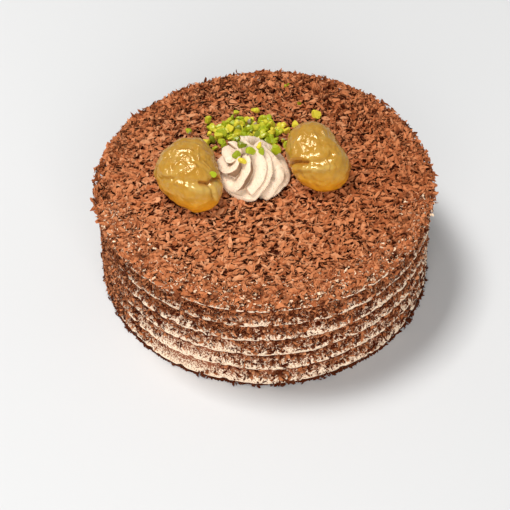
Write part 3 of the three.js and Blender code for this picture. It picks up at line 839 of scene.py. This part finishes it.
RIGHT_CHESTNUT = dict(
    place=RIGHT_CHESTNUT_PLACE + [-1.8 * MM, 0.5 * MM],
    radius=19.5 * MM,
    half_height=14 * MM,
    oval=(0.18, np.radians(-127)),
    corner=(0.035, np.radians(-87)),
    folds=[
        ([(-20, -5), (-15, -7.5), (-10.1, -9.4), (-7, -9.8)], -1.2, 0.9),
        ([(-20, -5), (-15, -7.7), (-8, -9.8), (-0.9, -9.2), (4.5, -7), (8.2, -4)], -1.1, 1.5),
        ([(-17.5, -3.6), (-14.8, -4.3), (-11.7, -5.3), (-7.5, -7.4), (-5, -8.2)], 0.6, 0.9),
        ([(-15.8, -10.8), (-8, -12.4), (-1.9, -12.2), (2.1, -11.4)], 0.9, 1.3),
        ([(4.4, -7.6), (5.2, -9.3), (5.1, -11.1)], 0.7, 0.6),
        ([(7.6, -8.9), (8.3, -9.9)], 0.5, 0.6),
        ([(-1.2, 11.7), (-2.2, 9.6)], 0.4, 0.6),
        ([(3.3, 10.8), (5, 8.2)], 0.4, 0.6),
        ([(-1.4, 7.1), (0.2, 5)], 0.4, 0.7),
        ([(-8.4, 7.7), (-12.8, 5), (-14.6, 1.9)], 0.35, 0.8),
    ],
    # Pale streaks along the lower lobe's ledge: partly a paler amber and partly a painted highlight
    pale=[([(-8, -12.4), (2, -12), (6, -10)], 1.6)],
)


def cube_ball(steps):
    """Points and square faces of a ball of radius 1: the six sides of a cube, each a grid whose
    lines are spaced evenly in angle, pushed out to the ball, with the seams closed."""
    across = np.tan(np.linspace(-np.pi / 4, np.pi / 4, steps + 1))
    u, v = np.meshgrid(across, across, indexing="ij")
    one = np.ones_like(u)
    sides = [(one, u, v), (-one, v, u), (v, one, u), (u, -one, v), (u, v, one), (v, u, -one)]
    points = unit(np.stack([np.stack(side, axis=-1) for side in sides]).reshape(-1, 3))
    index = np.arange(6 * (steps + 1) ** 2).reshape(6, steps + 1, steps + 1)
    corners = [index[:, :-1, :-1], index[:, 1:, :-1], index[:, 1:, 1:], index[:, :-1, 1:]]
    quads = np.stack(corners, axis=-1).reshape(-1, 4)
    _, first, same = np.unique(np.round(points, 6), axis=0, return_index=True, return_inverse=True)
    return points[first], same.ravel()[quads]


def near_line(flat, line, width):
    """1 on a line through the given corners, falling off as a bell curve of the given width."""
    line = np.array(line)
    start, step = line[:-1], np.diff(line, axis=0)
    gap = flat[:, None, :] - start
    share = np.clip((gap * step).sum(-1) / (step**2).sum(-1), 0, 1)
    distance = np.linalg.norm(gap - share[..., None] * step, axis=-1).min(axis=1)
    return np.exp(-((distance / width) ** 2))


def chestnut_surface(shape, seed):
    """The ball drawn out to the chestnut's outline, which is 1 plus an oval's cosine and a corner's,
    and folded, then tilted, set down and flattened where it rests. Returned with how red each point
    is, which is painted shade in the crease, and how pale, partly a paler amber and partly a painted
    highlight."""
    ball, quads = cube_ball(CHESTNUT_SQUARES)
    around = np.arctan2(ball[:, 1], ball[:, 0])
    oval, oval_turn = shape["oval"]
    corner, corner_turn = shape["corner"]
    outline = 1 + oval * np.cos(2 * around - oval_turn) + corner * np.cos(3 * around - corner_turn)
    round_body = ball * shape["radius"]
    flat = round_body[:, :2] / MM
    on_face = np.clip((ball[:, 2] + 0.35) / 0.5, 0, 1)
    on_top = np.clip(ball[:, 2] + 0.3, 0.2, 1)
    lift = 0.25 * ripples(round_body, 8 * MM, seed)
    lift = lift + 0.12 * on_top * ripples(round_body, 3.5 * MM, seed + 1)
    for line, height, width in shape["folds"]:
        lift = lift + height * on_face * near_line(flat, line, width)
    swollen = 1 + lift * MM / shape["half_height"]
    size = np.stack([swollen * outline, swollen * outline, swollen], axis=-1)
    points = ball * size * [shape["radius"], shape["radius"], shape["half_height"]]
    points = points @ np.array(Matrix.Rotation(CHESTNUT_TILT, 3, "X")).T
    points[:, 2] += TOPPING_LEVEL - points[:, 2].min() - CHESTNUT_SUNK
    points[:, :2] += shape["place"]
    points[:, 2] = np.maximum(points[:, 2], TOPPING_LEVEL - CHESTNUT_FLAT)
    crease = shape["folds"][0][0]
    # Painted shade in the crease, under the upper lobe
    red = on_face * near_line(flat, crease, 1.6)
    # Pale streaks: partly a paler amber and partly a painted highlight
    pale = on_face * sum(near_line(flat, line, width) for line, width in shape["pale"])
    return points, [quads], red, pale


def amber_finish():
    """Clear amber under a wet syrup glaze: painted red shade in the crease, pale streaks that are partly
    painted highlights, deep orange low down, and cloudy.
    """
    amber = Finish("candied_chestnut", Specular_IOR_Level=0.9, Specular_Tint=(1.0, 0.88, 0.62, 1))
    amber.surface(Subsurface_Weight=0.25, Subsurface_Scale=0.004, Subsurface_Radius=(1.0, 0.5, 0.12))
    height = amber.node("ShaderNodeSeparateXYZ", {}, [amber.place()], 2)
    cloudy = amber.ramp(amber.grain(6 * MM, 4.0, 0.6), 0.4, 0.7)
    colour = amber.mix(cloudy * 0.45, AMBER, AMBER_PALE)
    colour = amber.mix(amber.ramp(height, *DEEP_AMBER_BETWEEN, 1.0, 0.0), colour, AMBER_DEEP)
    # Pale streaks on the lower lobes, partly a paler amber and partly a painted highlight
    colour = amber.mix(amber.ramp(amber.value("pale"), 0.1, 0.9, 0.0, 0.85), colour, AMBER_PALE)
    # Painted shade: red in the crease
    colour = amber.mix(amber.ramp(amber.value("red"), 0.3, 1.0, 0.0, 0.6), colour, AMBER_CREASE_SHADE)
    wrinkled = amber.ramp(height, *WRINKLED_BETWEEN, 0.25, 1.0)
    relief = amber.bump(amber.grain(2.2 * MM, 3.0, 0.6) * wrinkled, 0.36 * MM)
    rough = amber.ramp(amber.grain(3 * MM, 2.0), 0.3, 0.7, 0.05, 0.20)
    return amber.surface(Base_Color=colour, Roughness=rough, Normal=relief)


amber = amber_finish()
for node, shape, seed in (("chestnut_left", LEFT_CHESTNUT, 51), ("chestnut_right", RIGHT_CHESTNUT, 61)):
    points, faces, red, pale = chestnut_surface(shape, seed)
    chestnut = mesh_piece(node + "_candied", points, faces, red=red, pale=pale)
    chestnut.data.materials.append(amber)
    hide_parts(node)
    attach(chestnut, "root")


# ---- The chopped pistachios ----
# Raw shelled nuts chopped by knife: bright green and yellow bits with flat cuts, some still with
# their purple skin. Most lie behind the rosette, and a few fell on it and on the shavings.

BIT_LENGTH = 4.6 * MM
HEAP_PLACE = np.array([-9.5, 41.5]) * MM
HEAP_REACH = np.array([24, 14]) * MM
HEAP_BITS = 120
BIT_SQUARES = 3  # along each edge of the cube that a bit's mesh starts from
BIT_CUTS = 6
SKINNED_SHARE = 0.25
RANDOM_TONE = -1
# Where the bits on the cake lie, and how long each is, in mm
STRAY_BITS = np.array(
    [[-44.3, 44.4, 4], [-33.4, 53.6, 5], [-16.1, 60.2, 4], [-4.8, 61.6, 5.5], [22.2, 68, 3]]
    + [[15.3, 83.6, 4], [32, 56.5, 5.8], [20, 47, 5.5], [14.2, 30, 5], [9.2, 26, 4]]
    + [[-34, 34.6, 5], [-28.6, 28.6, 4.5]]
)
# On the rosette: how far up it, as a share of its height, at which bearing in degrees, how long in
# mm, and the tone from 0, dark green, to 1, yellow
ROSETTE_BITS = np.array(
    [[0.9, -94, 5.5, 0.03], [0.78, -124, 4.2, 0.08], [0.72, -100, 3.8, 0.95], [0.81, -58, 5, 0.16]]
    + [[0.79, -4, 4, 1], [0.74, -22, 4, 0.1], [0.56, 15, 6.5, 0.35], [0.42, 36, 5, 0.9]]
)
CHESTNUT_BIT_PLACE = np.array([-29.6, -14.8, 89.5]) * MM
CHESTNUT_BIT_LENGTH = 4.2 * MM
CHESTNUT_BIT_TONE = 0.2
NUT_GREEN = (0.40, 0.48, 0.015, 1)
NUT_YELLOW = (0.78, 0.66, 0.05, 1)
NUT_DEEP = (0.17, 0.20, 0.01, 1)
NUT_SKIN = (0.36, 0.26, 0.20, 1)


def nut_bits(places, lengths, tones, seed):
    """Chopped bits, joined in one mesh: a small ball for each, cut flat by planes in random
    directions, stretched and turned at random. Returned with each point's tone, which is the bit's
    own or a random one, and with how far towards the skinned side it is, on bits that have skin."""
    draw = np.random.default_rng(seed)
    count = len(places)
    ball, quads = cube_ball(BIT_SQUARES)
    local = np.tile(ball, (count, 1, 1))
    skinned_side = unit(draw.normal(size=(count, 1, 3)))
    skin = (ball * skinned_side).sum(-1)
    for _ in range(BIT_CUTS):
        cut = unit(draw.normal(size=(count, 1, 3)))
        past_cut = (local * cut).sum(-1, keepdims=True) - draw.uniform(0.35, 0.7, (count, 1, 1))
        local = local - np.maximum(past_cut, 0) * cut
    stretched = draw.uniform(0.65, 0.9, (count, 1, 3))
    stretched[..., 0] = draw.uniform(0.9, 1.15, (count, 1))
    local = local * stretched * 0.68 * lengths[:, None, None]
    facing = unit(draw.normal(size=(count, 3)))
    along = unit(np.cross(facing, draw.normal(size=(count, 3))))
    turned = np.stack([along, np.cross(facing, along), facing], axis=1)
    points = (places[:, None, :] + local @ turned).reshape(-1, 3)
    faces = (np.arange(count)[:, None, None] * len(ball) + quads).reshape(-1, 4)
    random_tones = draw.uniform(0, 1, count)
    tone = each_point(np.where(tones == RANDOM_TONE, random_tones, tones), points)
    skin = np.where(draw.uniform(0, 1, (count, 1)) < SKINNED_SHARE, skin, -1).ravel()
    return points, [faces], tone, skin


def nut_finish():
    """Pistachio flesh: green to yellow from bit to bit, darker in the grain, purple where skin is left."""
    nut = Finish("pistachio", Roughness=0.3, Specular_IOR_Level=0.5)
    tone = nut.value("tone")
    grain = nut.grain(1.3 * MM, 3.0, 0.6)
    fresh = nut.mix(nut.ramp(tone + (grain - 0.5) * 0.8, 0.3, 0.9), NUT_GREEN, NUT_YELLOW)
    shaded = nut.mix(nut.ramp(tone, 0.0, 0.2, 0.85, 0.0), fresh, NUT_DEEP)
    skin = nut.ramp(nut.value("skin"), 0.45, 0.75)
    colour = nut.mix(skin * 0.9, shaded, NUT_SKIN)
    return nut.surface(Base_Color=colour, Normal=nut.bump(grain, 0.2 * MM))


def heap_bits():
    """Places, lengths and tones of the bits spread over the heap's oval along a sunflower's spiral,
    every third one in an upper layer nearer the middle."""
    draw = np.random.default_rng(71)
    order = np.arange(HEAP_BITS)
    upper = order % 3 == 0
    spread = np.sqrt((order + 0.5) / HEAP_BITS) * np.where(upper, 0.75, 1.0)
    bearing = order * np.pi * (3 - np.sqrt(5))
    x = HEAP_PLACE[0] + HEAP_REACH[0] * spread * np.cos(bearing) + draw.normal(size=HEAP_BITS) * 0.9 * MM
    y = HEAP_PLACE[1] + HEAP_REACH[1] * spread * np.sin(bearing) + draw.normal(size=HEAP_BITS) * 0.9 * MM
    z = CAKE_HEIGHT + (1.6 + 2.4 * upper) * MM
    lengths = draw.uniform(0.75, 1.25, HEAP_BITS) * BIT_LENGTH
    return np.stack([x, y, z], axis=-1), lengths, np.full(HEAP_BITS, RANDOM_TONE)


def stray_bits():
    """Places, lengths and tones of the single bits: on the shavings, on the rosette's ribs and on
    the left chestnut."""
    x, y, on_cake = STRAY_BITS.T * MM
    share, bearing, on_rosette, rosette_tones = ROSETTE_BITS.T
    cake_places = np.stack([x, y, CAKE_HEIGHT + 0.4 * on_cake], axis=-1)
    rosette_places = dome(share, np.radians(bearing))
    places = np.concatenate([cake_places, rosette_places, [CHESTNUT_BIT_PLACE]])
    lengths = np.concatenate([on_cake, on_rosette * MM, [CHESTNUT_BIT_LENGTH]])
    tones = np.concatenate([np.full(len(STRAY_BITS), RANDOM_TONE), rosette_tones, [CHESTNUT_BIT_TONE]])
    return places, lengths, tones


nut = nut_finish()
for name, node, bits, seed in (
    ("pistachios_heaped", "pistachio_heap", heap_bits(), 81),
    ("pistachios_strewn", "cake", stray_bits(), 82),
):
    points, faces, tone, skin = nut_bits(*bits, seed)
    pistachios = mesh_piece(name, points, faces, smooth=False, tone=tone, skin=skin)
    pistachios.data.materials.append(nut)
    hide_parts(node)
    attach(pistachios, "root")
